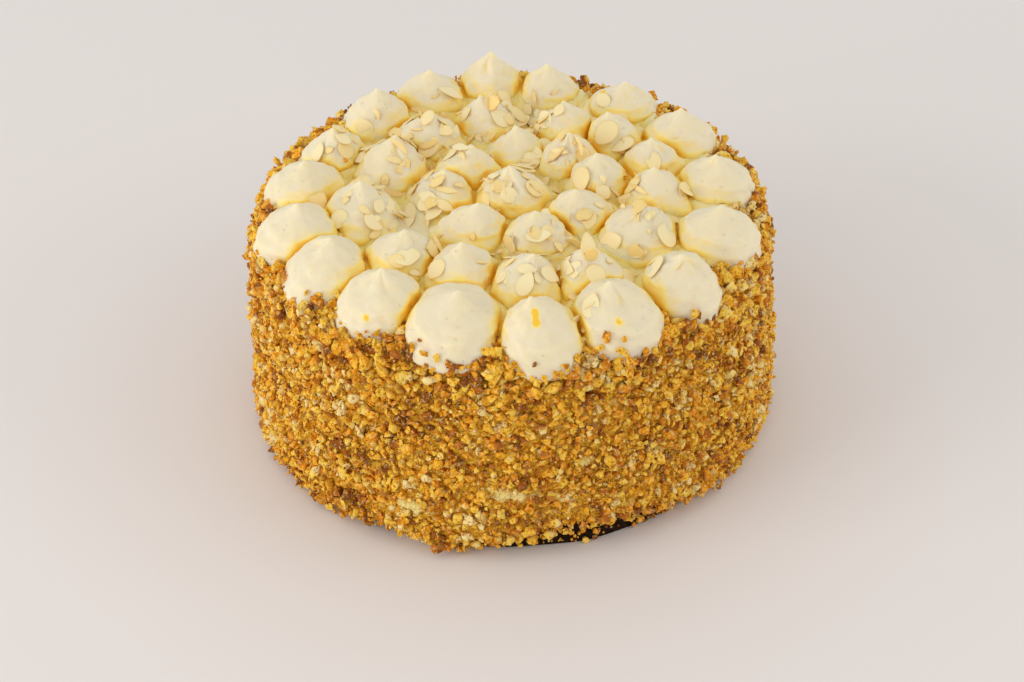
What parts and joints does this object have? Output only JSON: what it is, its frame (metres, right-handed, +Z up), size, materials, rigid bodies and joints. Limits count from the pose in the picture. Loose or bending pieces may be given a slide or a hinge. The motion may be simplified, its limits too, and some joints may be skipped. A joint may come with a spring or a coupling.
{
  "type": "walnut torte",
  "caption": "Whole round layer cake coated with chopped walnuts, topped with rings of piped cream dollops and flaked almonds, on a dark sponge foot.",
  "frame": {"origin": "under the middle of the cake, at the bottom of its foot", "axes": "+Z up, the front is the -Y side"},
  "size_m": [0.2211, 0.2224, 0.1183],
  "materials": {
    "walnut_coat": "chopped toasted walnuts pressed into cream: rough golden-brown pieces with darker skins",
    "sponge": "dark, porous, dry sponge crumb",
    "cream": "soft satin ivory cream with flaked almonds"
  },
  "bodies": {
    "root": {"cake_body": "walnut_coat", "dollop_inner_01": "cream", "dollop_inner_02": "cream", "dollop_inner_03": "cream", "dollop_inner_04": "cream", "dollop_inner_05": "cream", "dollop_inner_06": "cream", "dollop_inner_07": "cream", "dollop_inner_08": "cream", "dollop_middle_01": "cream", "dollop_outer_01": "cream", "dollop_outer_02": "cream", "dollop_outer_03": "cream", "dollop_outer_04": "cream", "dollop_outer_05": "cream", "dollop_outer_06": "cream", "dollop_outer_07": "cream", "dollop_outer_08": "cream", "dollop_outer_09": "cream", "dollop_outer_10": "cream", "dollop_outer_11": "cream", "dollop_outer_12": "cream", "dollop_outer_13": "cream", "dollop_outer_14": "cream", "dollop_outer_15": "cream", "dollop_outer_16": "cream", "dollop_outer_17": "cream", "dollop_second_01": "cream", "dollop_second_02": "cream", "dollop_second_03": "cream", "dollop_second_04": "cream", "dollop_second_05": "cream", "dollop_second_06": "cream", "dollop_second_07": "cream", "dollop_second_08": "cream", "dollop_second_09": "cream", "dollop_second_10": "cream", "dollop_second_11": "cream", "dollop_second_12": "cream", "dollop_second_13": "cream", "sponge_base": "sponge"}
  },
  "joints": []
}
